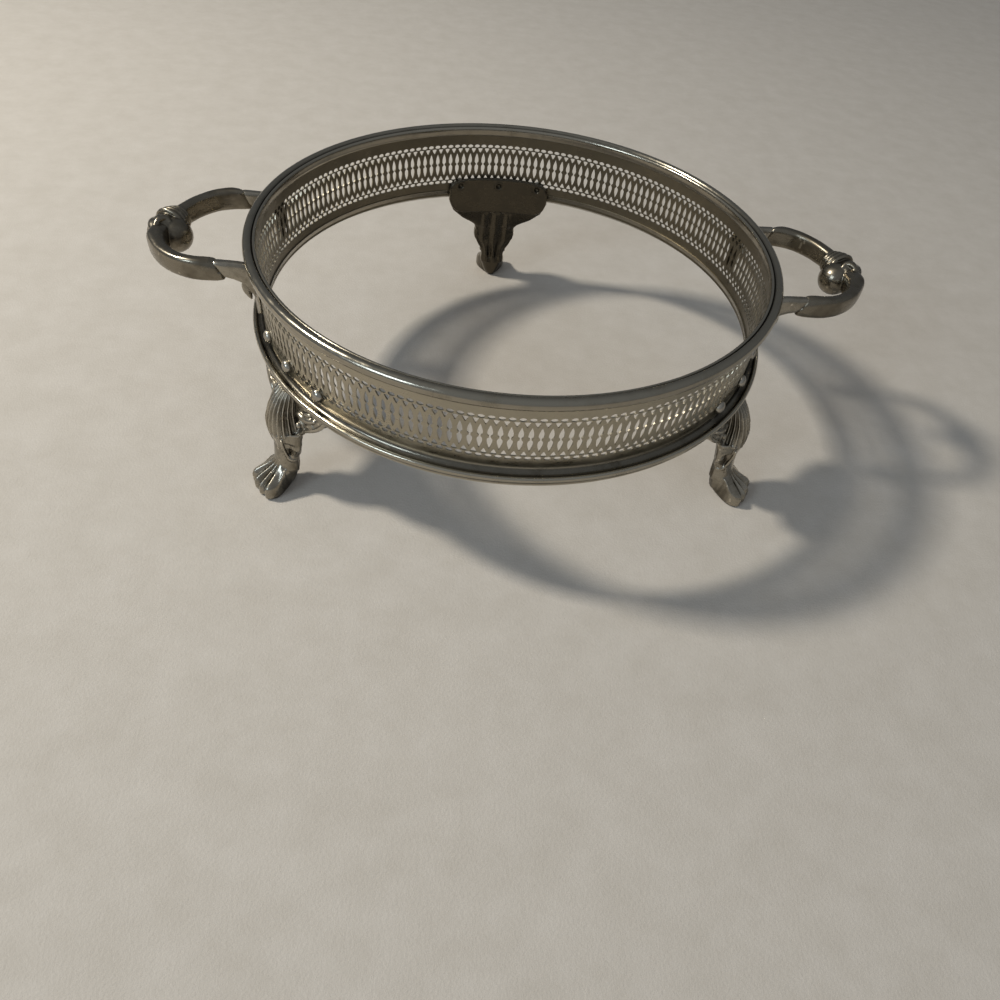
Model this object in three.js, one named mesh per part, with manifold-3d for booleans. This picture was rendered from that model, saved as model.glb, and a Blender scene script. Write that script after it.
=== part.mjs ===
// Casserole holder: a pierced silver-plated ring on three paw feet, with two fixed loop handles.
// Millimetres, +Z up. The ring's axis is vertical and the paws stand on z = 0.
// The handles point along X, the right one a little to the front, and one foot is at the back, towards +Y.

import * as THREE from 'three';
import { mergeVertices } from 'three/addons/utils/BufferGeometryUtils.js';
import Module from 'manifold-3d';

const wasm = await Module();
wasm.setup();

// Clearance between pieces that rest on each other, and extra length of a cutting tool
const GAP = 0.3;
const CUT_OVER = 1;

// Heights above the table
const RIM_TOP_Z = 87.5;
const RIM_HEIGHT = 5;
const RING_BOTTOM_Z = 48.9;
const BOTTOM_RIM_HEIGHT = 5.6;
const HANDLE_DROP = 7.5;
const HANDLE_Z = RIM_TOP_Z - HANDLE_DROP;
const RIVET_Z = 57.6;

// Ring
const RIM_OUTER_RADIUS = 110;
const RIM_WIDTH = 5.3;
const BAND_TOP_RADIUS = 106.9;
const BAND_LOW_RADIUS = 105.7;
const BAND_THICKNESS = 1;
const BEAD_RADIUS = 110.9;
const RING_SEGMENTS = 72;

// Pierced slots, one in each facet of the band
const PATTERN_REPEATS = 192;
const SLOT_CENTRE_Z = 67.9;
const SLOT_HEIGHT = 11;
const SLOT_WIDTH = 1.5;

// Feet: where they stand round the ring, and the sizes of one casting
const FEET = { back: 90.7, left: 213.4, right: 327.8 };
const PLATE_THICKNESS = 2;
const PLATE_HALF_WIDTH = 26.4;
const PLATE_TOP_Z = 61.4;
const WING_Z = 45;
const KNEE_Z = 27;
const KNEE_RADIUS = 117.8;
const KNEE_DEPTH = 9.8;
const KNEE_HALF_WIDTH = 10.9;
const ANKLE_Z = 14;
const ANKLE_RADIUS = 117;
const ANKLE_DEPTH = 8.2;
const ANKLE_HALF_WIDTH = 6.1;
const SOLE_RADIUS = 121;
const SOLE_DEPTH = 10;
const SOLE_HALF_WIDTH = 4.6;
const TOE_TIP_RADIUS = 127.4;
const TOE_COUNT = 4;
const TOE_SPLAY = 17;
const TOE_HALF_WIDTH = 2.5;
const TOE_HEIGHT = 7;
const FOOT_SIDES = 24;

// Rivets
const RIVET_STEP = 11.4;
const RIVET_SHANK_RADIUS = 1.4;
const RIVET_HEAD_RADIUS = 2.75;
const RIVET_HEAD_HEIGHT = 2.4;
const RIVET_TAIL_RADIUS = 2.1;
const RIVET_TAIL_HEIGHT = 0.7;
const RIVET_SIDES = 10;

// Handles: where they stand round the ring, and the sizes of one loop
const HANDLE_ANGLES = { right: -2.8, left: 180 };
const HANDLE_REACH = 143.5;
const HANDLE_HALF_SPAN = 28.6;
const ARM_START_X = 113;
const ARM_HEIGHT = 8.6;
const ARM_THICKNESS = 4.6;
const KNOP_LENGTH = 14;
const KNOP_WIDTH = 13;
const KNOP_HEIGHT = 13;
const KNOP_DROP = 1.2;
const BALL_RADIUS = 7;
const BALL_INSET = 4;
const BALL_DROP = 3.2;
const COLLAR_LENGTH = 1.6;
const COLLAR_RADIUS = 5.2;
const COLLAR_OFFSET = 7.4;
const COLLAR_INSET = 1.4;

// Handle brackets
const BRACKET_THICKNESS = 1.2;
const BRACKET_WIDTH = 11;
const BRACKET_BOTTOM_Z = 60.5;
const NECK_HEIGHT = 6.6;
const NECK_THICKNESS = 4;
const GUSSET_DROP = 7;
const GUSSET_REACH = 4.6;

const rad = THREE.MathUtils.degToRad;
const v2 = (x, y) => new THREE.Vector2(x, y);
const v3 = (x, y, z) => new THREE.Vector3(x, y, z);

// Materials: tarnished silver plate, darker where castings hold the tarnish, bright where hands polish
function metal(colour, roughness) {
  return new THREE.MeshStandardMaterial({ color: colour, metalness: 1, roughness });
}
const plate = metal(0x9b958a, 0.32);
const brightPlate = metal(0xb4aea2, 0.22);
const darkCasting = metal(0x79736a, 0.4);

// Solids and boolean work

function solid(geometry) {
  const bare = geometry.index ? geometry.toNonIndexed() : geometry.clone();
  bare.deleteAttribute('normal');
  bare.deleteAttribute('uv');
  const merged = mergeVertices(bare, 1e-4);
  const mesh = new wasm.Mesh({
    numProp: 3,
    vertProperties: new Float32Array(merged.attributes.position.array),
    triVerts: new Uint32Array(merged.index.array),
  });
  return new wasm.Manifold(mesh);
}

function geometryOf(manifold) {
  const mesh = manifold.getMesh();
  const geometry = new THREE.BufferGeometry();
  geometry.setAttribute('position', new THREE.BufferAttribute(new Float32Array(mesh.vertProperties), 3));
  geometry.setIndex(new THREE.BufferAttribute(new Uint32Array(mesh.triVerts), 1));
  geometry.computeVertexNormals();
  return geometry;
}

function union(solids) {
  return solids.reduce((sum, next) => sum.add(next));
}

function subtractAll(body, tools) {
  return tools.reduce((rest, tool) => rest.subtract(tool), body);
}

// Closed ring from a profile of [radius, z] points listed anticlockwise, radius to the right and z up
function ring(profile, segments) {
  const points = profile.map(([radius, z]) => v2(radius, z));
  points.push(points[0].clone());
  return new THREE.LatheGeometry(points, segments).rotateX(Math.PI / 2);
}

// Prism of a [t, z] outline, run along X from one radius to another
function radialPrism(outline, fromX, toX) {
  const shape = new THREE.Shape(outline.map(([t, z]) => v2(t, z)));
  const prism = new THREE.ExtrudeGeometry(shape, { depth: toX - fromX, bevelEnabled: false });
  return prism.rotateX(Math.PI / 2).rotateZ(Math.PI / 2).translate(fromX, 0, 0);
}

// Rod along X from a profile of [x, radius] points, which starts and ends on the axis
function radialRod(profile, sides) {
  const points = profile.map(([x, radius]) => v2(radius, x));
  return new THREE.LatheGeometry(points, sides).rotateZ(-Math.PI / 2);
}

function smoothOutline(points, stepsPerSpan) {
  const curve = new THREE.CatmullRomCurve3(points.map(([a, b]) => v3(a, b, 0)), false, 'centripetal');
  return curve.getPoints((points.length - 1) * stepsPerSpan).map((p) => [p.x, p.y]);
}

// Closed skin through rings of points that run anticlockwise seen from the last ring, with flat ends
function loft(rings) {
  const count = rings[0].length;
  const points = rings.flat();
  const faces = [];
  for (let i = 0; i < rings.length - 1; i += 1) {
    for (let j = 0; j < count; j += 1) {
      const a = i * count + j;
      const b = i * count + ((j + 1) % count);
      faces.push(a, b, b + count, a, b + count, a + count);
    }
  }
  const last = (rings.length - 1) * count;
  for (let j = 1; j < count - 1; j += 1) {
    faces.push(0, j + 1, j, last, last + j, last + j + 1);
  }
  const geometry = new THREE.BufferGeometry().setFromPoints(points);
  geometry.setIndex(faces);
  return geometry;
}

// The band's outer radius at a height
function bandRadius(z) {
  const share = (z - RING_BOTTOM_Z) / (RIM_TOP_Z - RING_BOTTOM_Z);
  return BAND_LOW_RADIUS + (BAND_TOP_RADIUS - BAND_LOW_RADIUS) * share;
}

const RIM_BOTTOM_Z = RIM_TOP_Z - RIM_HEIGHT;
const BAND_TOP_Z = RIM_TOP_Z - RIM_HEIGHT * 0.4;
const BOTTOM_RIM_TOP_Z = RING_BOTTOM_Z + BOTTOM_RIM_HEIGHT;
const BAND_BOTTOM_Z = RING_BOTTOM_Z + 2.4;

// Pierced strip bent to a ring
function galleryBand() {
  const turn = (2 * Math.PI) / PATTERN_REPEATS;
  const profile = [
    [bandRadius(BAND_BOTTOM_Z) - BAND_THICKNESS, BAND_BOTTOM_Z],
    [bandRadius(BAND_BOTTOM_Z), BAND_BOTTOM_Z],
    [bandRadius(BAND_TOP_Z), BAND_TOP_Z],
    [bandRadius(BAND_TOP_Z) - BAND_THICKNESS, BAND_TOP_Z],
  ];
  const wall = solid(ring(profile, PATTERN_REPEATS).rotateZ(turn / 2));
  const from = BAND_LOW_RADIUS - BAND_THICKNESS - CUT_OVER;
  const to = BAND_TOP_RADIUS + CUT_OVER;
  const half = SLOT_WIDTH / 2;
  const low = SLOT_CENTRE_Z - SLOT_HEIGHT / 2;
  const high = SLOT_CENTRE_Z + SLOT_HEIGHT / 2;
  const slot = radialPrism([[-half, low], [half, low], [half, high], [-half, high]], from, to);
  const slots = [];
  for (let i = 0; i < PATTERN_REPEATS; i += 1) {
    slots.push(solid(slot.clone().rotateZ(i * turn)));
  }
  return subtractAll(wall.subtract(union(slots)), rivetBores());
}

// Rounded moulding with a groove below that takes the band's upper edge
function topRim() {
  const outer = RIM_OUTER_RADIUS;
  const inner = RIM_OUTER_RADIUS - RIM_WIDTH;
  const seat = RIM_WIDTH * 0.2;
  const grooveOuter = bandRadius(RIM_BOTTOM_Z) + GAP + 0.1;
  const grooveInner = bandRadius(RIM_BOTTOM_Z) - BAND_THICKNESS - GAP - 0.1;
  const middle = (outer + inner) / 2;
  return ring([
    [grooveOuter, RIM_BOTTOM_Z],
    [outer - 1.2, RIM_BOTTOM_Z],
    [outer - 0.5, RIM_BOTTOM_Z + 0.8],
    [outer, RIM_TOP_Z - 2.2],
    [outer - 0.6, RIM_TOP_Z - 0.8],
    [middle + seat, RIM_TOP_Z],
    [middle - seat, RIM_TOP_Z],
    [inner + 0.6, RIM_TOP_Z - 0.8],
    [inner, RIM_TOP_Z - 2.2],
    [inner + 0.4, RIM_BOTTOM_Z],
    [grooveInner, RIM_BOTTOM_Z],
    [grooveInner, BAND_TOP_Z + GAP],
    [grooveOuter, BAND_TOP_Z + GAP],
  ], RING_SEGMENTS);
}

// Flared moulding: a cove runs out to a bead, and the band's lower edge stands in its rabbet
function bottomRim() {
  const wall = bandRadius(BOTTOM_RIM_TOP_Z) + GAP;
  const seatInner = bandRadius(BAND_BOTTOM_Z) - BAND_THICKNESS;
  const seatZ = BAND_BOTTOM_Z - GAP;
  return ring([
    [seatInner, seatZ],
    [BEAD_RADIUS - 2.4, RING_BOTTOM_Z],
    [BEAD_RADIUS - 1, RING_BOTTOM_Z],
    [BEAD_RADIUS - 0.6, RING_BOTTOM_Z + 1.6],
    [BEAD_RADIUS, RING_BOTTOM_Z + 2.6],
    [BEAD_RADIUS - 0.3, RING_BOTTOM_Z + 3.8],
    [BEAD_RADIUS - 1.4, RING_BOTTOM_Z + 4],
    [wall + 1.2, RING_BOTTOM_Z + 4.4],
    [wall + 0.5, BOTTOM_RIM_TOP_Z],
    [wall, BOTTOM_RIM_TOP_Z],
    [wall, seatZ],
  ], RING_SEGMENTS);
}

// Rivets and their bores

function rivetAngles(footAngle) {
  return [-RIVET_STEP, 0, RIVET_STEP].map((offset) => footAngle + offset);
}

const WALL_AT_RIVET = bandRadius(RIVET_Z);
const PLATE_OUTER_RADIUS = bandRadius(BAND_BOTTOM_Z) - BAND_THICKNESS - GAP;
const PLATE_INNER_RADIUS = PLATE_OUTER_RADIUS - PLATE_THICKNESS;

function rivetBore() {
  const radius = RIVET_SHANK_RADIUS + GAP;
  const from = PLATE_INNER_RADIUS - CUT_OVER;
  const to = WALL_AT_RIVET + CUT_OVER;
  return radialRod([[from, 0], [from, radius], [to, radius], [to, 0]], RIVET_SIDES)
    .translate(0, 0, RIVET_Z);
}

function rivetBores() {
  const bores = [];
  for (const footAngle of Object.values(FEET)) {
    for (const angle of rivetAngles(footAngle)) {
      bores.push(solid(rivetBore().rotateZ(rad(angle))));
    }
  }
  return bores;
}

// Dome head outside the band, shank through band and foot plate, low hammered tail inside
function rivet() {
  const underHead = WALL_AT_RIVET + GAP;
  const underTail = PLATE_INNER_RADIUS - GAP;
  const dome = [];
  for (let i = 0; i <= 3; i += 1) {
    const a = (i * Math.PI) / 6;
    dome.push([underHead + RIVET_HEAD_HEIGHT * Math.sin(a), RIVET_HEAD_RADIUS * Math.cos(a)]);
  }
  dome[3][1] = 0;
  return radialRod([
    [underTail - RIVET_TAIL_HEIGHT, 0],
    [underTail - RIVET_TAIL_HEIGHT, RIVET_TAIL_RADIUS * 0.6],
    [underTail, RIVET_TAIL_RADIUS],
    [underTail, RIVET_SHANK_RADIUS],
    [underHead, RIVET_SHANK_RADIUS],
    ...dome,
  ], RIVET_SIDES).translate(0, 0, RIVET_Z);
}

// Feet

// One level section of the leg, bent round the ring: bulging outside and nearly flat inside
function legSection([z, outer, depth, halfWidth]) {
  const points = [];
  for (let i = 0; i < FOOT_SIDES; i += 1) {
    const a = (2 * Math.PI * i) / FOOT_SIDES;
    const out = Math.cos(a);
    const side = Math.sin(a);
    const reach = Math.sign(out) * Math.abs(out) ** (out > 0 ? 0.9 : 0.4);
    const radius = outer - depth / 2 + (reach * depth) / 2;
    const turn = (halfWidth * Math.sign(side) * Math.abs(side) ** 0.85) / BAND_LOW_RADIUS;
    points.push(v3(radius * Math.cos(turn), radius * Math.sin(turn), z));
  }
  return points;
}

// Sole, ankle, shell-shaped knee and the wings that spread out under the ring
function leg() {
  const top = RING_BOTTOM_Z - GAP;
  const wingDepth = BEAD_RADIUS - 2.2 - PLATE_INNER_RADIUS;
  return loft([
    [0, SOLE_RADIUS, SOLE_DEPTH, SOLE_HALF_WIDTH],
    [ANKLE_Z * 0.25, SOLE_RADIUS, SOLE_DEPTH + 1.2, SOLE_HALF_WIDTH + 1],
    [ANKLE_Z * 0.6, ANKLE_RADIUS + 2, ANKLE_DEPTH + 1.8, ANKLE_HALF_WIDTH + 0.2],
    [ANKLE_Z, ANKLE_RADIUS, ANKLE_DEPTH, ANKLE_HALF_WIDTH],
    [ANKLE_Z + 4.5, ANKLE_RADIUS, ANKLE_DEPTH, ANKLE_HALF_WIDTH + 1.2],
    [KNEE_Z - 6, KNEE_RADIUS - 0.4, KNEE_DEPTH - 1, KNEE_HALF_WIDTH - 1.8],
    [KNEE_Z - 2.5, KNEE_RADIUS, KNEE_DEPTH - 0.4, KNEE_HALF_WIDTH - 0.2],
    [KNEE_Z + 2, KNEE_RADIUS, KNEE_DEPTH, KNEE_HALF_WIDTH],
    [KNEE_Z + 6, KNEE_RADIUS - 0.8, KNEE_DEPTH + 0.4, KNEE_HALF_WIDTH + 0.1],
    [WING_Z * 0.79, KNEE_RADIUS - 1.6, KNEE_DEPTH + 0.4, KNEE_HALF_WIDTH + 3],
    [WING_Z * 0.833, KNEE_RADIUS - 2, KNEE_DEPTH + 0.6, PLATE_HALF_WIDTH * 0.644],
    [WING_Z * 0.878, KNEE_RADIUS - 2.4, KNEE_DEPTH + 0.8, PLATE_HALF_WIDTH * 0.758],
    [WING_Z * 0.933, BEAD_RADIUS + 3, KNEE_DEPTH + 0.2, PLATE_HALF_WIDTH * 0.864],
    [WING_Z + 0.5, BEAD_RADIUS + 0.8, wingDepth + 2.6, PLATE_HALF_WIDTH * 0.962],
    [top, BEAD_RADIUS - 2.2, wingDepth, PLATE_HALF_WIDTH],
  ].map(legSection));
}

// The plate that is riveted to the band's inside
function rivetingPlate() {
  const half = smoothOutline([
    [PLATE_HALF_WIDTH - 2.6, WING_Z - 1],
    [PLATE_HALF_WIDTH, WING_Z + 5],
    [PLATE_HALF_WIDTH - 0.3, PLATE_TOP_Z - 4.2],
    [PLATE_HALF_WIDTH - 4.5, PLATE_TOP_Z - 1.4],
    [0, PLATE_TOP_Z],
  ], 2);
  const outline = half.concat(half.slice(0, -1).reverse().map(([t, z]) => [-t, z]));
  const shell = ring([
    [PLATE_INNER_RADIUS, WING_Z - 2],
    [PLATE_OUTER_RADIUS, WING_Z - 2],
    [PLATE_OUTER_RADIUS, PLATE_TOP_Z + CUT_OVER],
    [PLATE_INNER_RADIUS, PLATE_TOP_Z + CUT_OVER],
  ], RING_SEGMENTS);
  return solid(shell).intersect(solid(radialPrism(outline, PLATE_INNER_RADIUS * 0.8, PLATE_OUTER_RADIUS)));
}

// One toe, from the instep out to its rounded tip
function toe(angle) {
  const heel = ANKLE_RADIUS - ANKLE_DEPTH / 2;
  const length = TOE_TIP_RADIUS - heel;
  const rings = [
    [0, 0.5, ANKLE_Z - 3.5, 2.2],
    [0.45, 0.75, TOE_HEIGHT * 0.95, TOE_HEIGHT * 0.5],
    [0.8, 1, TOE_HEIGHT * 0.5, TOE_HEIGHT * 0.5],
    [0.94, 0.85, TOE_HEIGHT * 0.45, TOE_HEIGHT * 0.4],
    [1, 0.5, TOE_HEIGHT * 0.4, TOE_HEIGHT * 0.24],
  ].map(([share, width, z, halfHeight]) => {
    const points = [];
    for (let i = 0; i < 10; i += 1) {
      const a = (2 * Math.PI * i) / 10;
      points.push(v3(share * length, TOE_HALF_WIDTH * width * Math.cos(a), z + halfHeight * Math.sin(a)));
    }
    return points;
  });
  return solid(loft(rings).rotateZ(rad(angle)).translate(heel, 0, 0));
}

function footCasting() {
  const pieces = [solid(leg()), rivetingPlate()];
  for (let i = 0; i < TOE_COUNT; i += 1) {
    pieces.push(toe(TOE_SPLAY * (i - (TOE_COUNT - 1) / 2)));
  }
  const reach = TOE_TIP_RADIUS * 2;
  const floor = new THREE.BoxGeometry(reach, reach, reach).translate(TOE_TIP_RADIUS, 0, -reach / 2);
  const bores = [-RIVET_STEP, 0, RIVET_STEP].map((angle) => solid(rivetBore().rotateZ(rad(angle))));
  return subtractAll(union(pieces).subtract(solid(floor)), bores);
}

// Handles: two strap arms that meet in a knop, built for the +X side, the front arm fuller than the rear one.
// Each arm runs through [share of the reach, share of the half span].
const REAR_ARM = [[0, 1], [0.18, 0.99], [0.34, 0.955], [0.5, 0.88], [0.68, 0.7], [0.8, 0.5], [0.9, 0.28]];
const FRONT_ARM = [
  [0, 1], [0.2, 1.01], [0.38, 1], [0.55, 0.94], [0.7, 0.84], [0.84, 0.69], [0.94, 0.52], [1, 0.34],
];

function strap(points, steps) {
  const path = new THREE.CatmullRomCurve3(points.map(([x, y]) => v3(x, y, HANDLE_Z)), false, 'centripetal');
  const h = ARM_HEIGHT / 2;
  const t = ARM_THICKNESS / 2;
  const section = new THREE.Shape([
    v2(-h, -t * 0.4), v2(-h * 0.6, -t), v2(h * 0.6, -t), v2(h, -t * 0.4),
    v2(h, t * 0.4), v2(h * 0.6, t), v2(-h * 0.6, t), v2(-h, t * 0.4),
  ]);
  return solid(new THREE.ExtrudeGeometry(section, { steps, bevelEnabled: false, extrudePath: path }));
}

function armRoute(arm, side) {
  const start = ARM_START_X + GAP;
  const reach = HANDLE_REACH - start;
  return arm.map(([along, across]) => [start + reach * along, HANDLE_HALF_SPAN * across * side]);
}

function handleLoop(frontSide) {
  const route = [
    ...armRoute(REAR_ARM, -frontSide),
    [HANDLE_REACH, 0],
    ...armRoute(FRONT_ARM, frontSide).reverse(),
  ];
  const knop = new THREE.SphereGeometry(1, 16, 10);
  knop.scale(KNOP_WIDTH / 2, KNOP_LENGTH / 2, KNOP_HEIGHT / 2);
  knop.translate(HANDLE_REACH, 0, HANDLE_Z - KNOP_DROP);
  const ball = new THREE.SphereGeometry(BALL_RADIUS, 16, 10);
  ball.translate(HANDLE_REACH - BALL_INSET, 0, HANDLE_Z - BALL_DROP);
  const collars = [-1, 1].map((side) => {
    const collar = new THREE.CylinderGeometry(COLLAR_RADIUS, COLLAR_RADIUS, COLLAR_LENGTH, 12);
    collar.translate(HANDLE_REACH - COLLAR_INSET, side * COLLAR_OFFSET, HANDLE_Z - KNOP_DROP / 2);
    return solid(collar);
  });
  return union([strap(route, 36), solid(knop), solid(ball), ...collars]);
}

// Bracket: a curved leaf plate on the band's outside, with the neck that carries a handle's end
function bracket(side) {
  const angle = Math.asin(HANDLE_HALF_SPAN / (BAND_TOP_RADIUS + GAP)) * side;
  const top = RIM_BOTTOM_Z - GAP;
  const leaf = smoothOutline([
    [BRACKET_WIDTH * 0.42, top],
    [BRACKET_WIDTH * 0.5, top - 6],
    [BRACKET_WIDTH * 0.34, BRACKET_BOTTOM_Z + 5],
    [0, BRACKET_BOTTOM_Z],
  ], 2);
  const outline = leaf.concat(leaf.slice(0, -1).reverse().map(([t, z]) => [-t, z])).reverse();
  const radius = BAND_TOP_RADIUS + GAP;
  const shell = solid(ring([
    [radius, BRACKET_BOTTOM_Z - CUT_OVER],
    [radius + BRACKET_THICKNESS, BRACKET_BOTTOM_Z - CUT_OVER],
    [radius + BRACKET_THICKNESS, top],
    [radius, top],
  ], PATTERN_REPEATS));
  const cutter = radialPrism(outline, radius - CUT_OVER * 4, radius + CUT_OVER * 4).rotateZ(angle);
  const neckFrom = Math.sqrt(radius ** 2 - HANDLE_HALF_SPAN ** 2) + BRACKET_THICKNESS / 2;
  const length = ARM_START_X - neckFrom;
  const neck = new THREE.BoxGeometry(length, NECK_THICKNESS, NECK_HEIGHT)
    .translate(neckFrom + length / 2, HANDLE_HALF_SPAN * side, top - NECK_HEIGHT / 2);
  const under = top - NECK_HEIGHT + 0.5;
  const gusset = new THREE.ExtrudeGeometry(new THREE.Shape([
    v2(neckFrom, under), v2(neckFrom, under - GUSSET_DROP),
    v2(neckFrom + GUSSET_REACH * 0.35, under - GUSSET_DROP),
    v2(neckFrom + GUSSET_REACH * 0.5, under - GUSSET_DROP * 0.4),
    v2(neckFrom + GUSSET_REACH, under),
  ]), { depth: NECK_THICKNESS, bevelEnabled: false });
  gusset.rotateX(Math.PI / 2).translate(0, HANDLE_HALF_SPAN * side + NECK_THICKNESS / 2, 0);
  return union([shell.intersect(solid(cutter)), solid(neck), solid(gusset)]);
}

// Assembly

const holder = new THREE.Group();
holder.name = 'casserole_holder';

function add(name, geometry, material, turn = 0) {
  const mesh = new THREE.Mesh(geometry, material);
  mesh.name = name;
  mesh.rotation.z = rad(turn);
  holder.add(mesh);
}

add('gallery_band', geometryOf(galleryBand()), plate);
add('top_rim', topRim(), brightPlate);
add('bottom_rim', bottomRim(), brightPlate);

const foot = geometryOf(footCasting());
for (const [place, angle] of Object.entries(FEET)) {
  add(`foot_${place}`, foot, darkCasting, angle);
  rivetAngles(angle).forEach((rivetAngle, i) => {
    add(`rivet_${place}_${i + 1}`, rivet(), brightPlate, rivetAngle);
  });
}

for (const [place, turn] of Object.entries(HANDLE_ANGLES)) {
  const frontSide = place === 'right' ? -1 : 1;
  add(`handle_${place}`, geometryOf(handleLoop(frontSide)), plate, turn);
  add(`bracket_${place}_front`, geometryOf(bracket(frontSide)), darkCasting, turn);
  add(`bracket_${place}_back`, geometryOf(bracket(-frontSide)), darkCasting, turn);
}

// The origin lies on the table, below the middle of the whole outline
const box = new THREE.Box3().setFromObject(holder, true);
const middle = box.getCenter(v3(0, 0, 0));
holder.position.set(-middle.x, -middle.y, 0);
holder.updateMatrixWorld(true);

export default holder;
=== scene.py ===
# Casserole holder: the looks of a tarnished silver-plated ring stand.
# Shapes are worked out in millimetres round the ring's axis and turned to metres when a mesh is made.

import math

import bmesh
import bpy
from mathutils import Matrix, Vector
from mathutils.geometry import delaunay_2d_cdt


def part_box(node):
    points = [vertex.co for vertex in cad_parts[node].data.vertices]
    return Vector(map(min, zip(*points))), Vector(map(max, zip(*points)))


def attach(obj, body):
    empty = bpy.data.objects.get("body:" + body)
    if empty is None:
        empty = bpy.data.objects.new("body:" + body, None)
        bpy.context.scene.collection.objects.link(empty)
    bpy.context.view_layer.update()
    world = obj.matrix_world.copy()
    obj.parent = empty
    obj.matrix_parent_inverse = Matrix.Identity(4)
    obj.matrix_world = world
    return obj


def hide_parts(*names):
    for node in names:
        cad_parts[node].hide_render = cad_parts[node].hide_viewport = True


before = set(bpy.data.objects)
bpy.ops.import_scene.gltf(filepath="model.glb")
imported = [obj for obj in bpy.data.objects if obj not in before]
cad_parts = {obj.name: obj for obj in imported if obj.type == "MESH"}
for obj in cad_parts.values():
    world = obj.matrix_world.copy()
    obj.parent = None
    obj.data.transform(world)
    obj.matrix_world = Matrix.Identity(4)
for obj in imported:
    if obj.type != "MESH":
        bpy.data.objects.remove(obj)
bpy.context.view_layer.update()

MM = 0.001
UP = Vector((0, 0, 1))


def tenths(metres):
    """A length of the frame in millimetres, to the nearest tenth."""
    return round(metres / MM, 1)


# The ring's axis in the frame. The origin is the middle of the outline, and the back paw reaches farther out
band_low, band_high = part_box("gallery_band")
RING_X = (band_low[0] + band_high[0]) / 2
RING_Y = (band_low[1] + band_high[1]) / 2

# The rim's radius, and heights above the table. The rim's plane is where its outline lies in the photograph
rim_low, rim_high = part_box("top_rim")
rivet_low, rivet_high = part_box("rivet_back_2")
RIM_OUTER = tenths(rim_high[0] - rim_low[0]) / 2
RIM_TOP = tenths(rim_high[2])
RIM_PLANE = RIM_TOP - 1.9
RING_BOTTOM = tenths(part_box("bottom_rim")[0][2])
RIVET_Z = tenths((rivet_low[2] + rivet_high[2]) / 2)
HANDLE_Z = RIM_TOP - 7.5

# Band, a little wider at the top than at the bottom
BAND_TOP_RADIUS = 106.9
BAND_LOW_RADIUS = 105.7
BAND_THICKNESS = 0.6
REPEATS = 192
CELL = 2 * math.pi / REPEATS
RING_STEPS = 288

# Feet: where they stand round the ring and how far apart their rivets are, in degrees, and the plate inside
FEET = {"back": 90.7, "left": 213.4, "right": 327.8}
RIVET_STEP = 11.4
PLATE_OUTER = 104.8
PLATE_INNER = 102.5

# Handles: half the distance between a loop's arms, where the knop stands and where the arms start
SPAN = 28.6
REACH = 143.5
ARM_START = 113.3
RIGHT_TURN = math.radians(-2.8)


def smooth(a, b, x):
    """Eases from 0 at a to 1 at b."""
    t = min(max((x - a) / (b - a), 0.0), 1.0)
    return t * t * (3 - 2 * t)


def table(points, x):
    """Value at x on a line of (x, value) points."""
    if x <= points[0][0]:
        return points[0][1]
    for (xa, va), (xb, vb) in zip(points, points[1:]):
        if x <= xb:
            return va + (vb - va) * (x - xa) / (xb - xa)
    return points[-1][1]


def catmull(points, steps):
    """Points on a smooth line through the given ones."""
    ends = [points[0]] + list(points) + [points[-1]]
    line = []
    for i in range(1, len(ends) - 2):
        p0, p1, p2, p3 = (Vector(p) for p in ends[i - 1:i + 3])
        for k in range(steps):
            t = k / steps
            line.append(0.5 * (2 * p1 + (p2 - p0) * t + (2 * p0 - 5 * p1 + 4 * p2 - p3) * t * t
                               + (3 * p1 - p0 - 3 * p2 + p3) * t ** 3))
    line.append(Vector(points[-1]))
    return line


def taper(first, change):
    """Thickness of a rod that changes evenly along it."""
    return lambda share: first + change * share


def swell(thin, gain, start=0.1, end=0.9):
    """Thickness of a rod that follows a sine's hump, from one share of it to another."""
    return lambda share: thin + gain * math.sin(math.pi * (start + (end - start) * share))


# Nodes

def node(tree, kind, **values):
    """New node of a kind, with its settings."""
    made = tree.nodes.new(kind)
    for name, value in values.items():
        setattr(made, name, value)
    return made


def noise(tree, coords, scale, detail, rough, stretch=None):
    """Cloudy pattern from 0 to 1, squeezed along an axis where stretch says so."""
    made = node(tree, "ShaderNodeTexNoise")
    made.inputs["Scale"].default_value = scale
    made.inputs["Detail"].default_value = detail
    made.inputs["Roughness"].default_value = rough
    source = coords
    if stretch:
        mapping = node(tree, "ShaderNodeMapping")
        mapping.inputs["Scale"].default_value = stretch
        tree.links.new(coords, mapping.inputs["Vector"])
        source = mapping.outputs["Vector"]
    tree.links.new(source, made.inputs["Vector"])
    return made.outputs["Fac"]


def ramp(tree, source, low, high, to_low=0.0, to_high=1.0):
    """Turns values from low to high into values from to_low to to_high."""
    made = node(tree, "ShaderNodeMapRange")
    made.inputs["From Min"].default_value = low
    made.inputs["From Max"].default_value = high
    made.inputs["To Min"].default_value = to_low
    made.inputs["To Max"].default_value = to_high
    tree.links.new(source, made.inputs["Value"])
    return made.outputs["Result"]


def blend(tree, factor, first, second):
    """Mix of two colours, each given as three numbers or by another node."""
    made = node(tree, "ShaderNodeMix", data_type="RGBA")
    tree.links.new(factor, made.inputs[0])
    for socket, value in ((made.inputs[6], first), (made.inputs[7], second)):
        if isinstance(value, tuple):
            socket.default_value = (*value, 1.0)
        else:
            tree.links.new(value, socket)
    return made.outputs[2]


def math_node(tree, operation, first, second):
    """Sum, product or greater of two values, kept between 0 and 1."""
    made = node(tree, "ShaderNodeMath", operation=operation, use_clamp=True)
    for socket, value in zip(made.inputs, (first, second)):
        if isinstance(value, (int, float)):
            socket.default_value = value
        else:
            tree.links.new(value, socket)
    return made.outputs[0]


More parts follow.
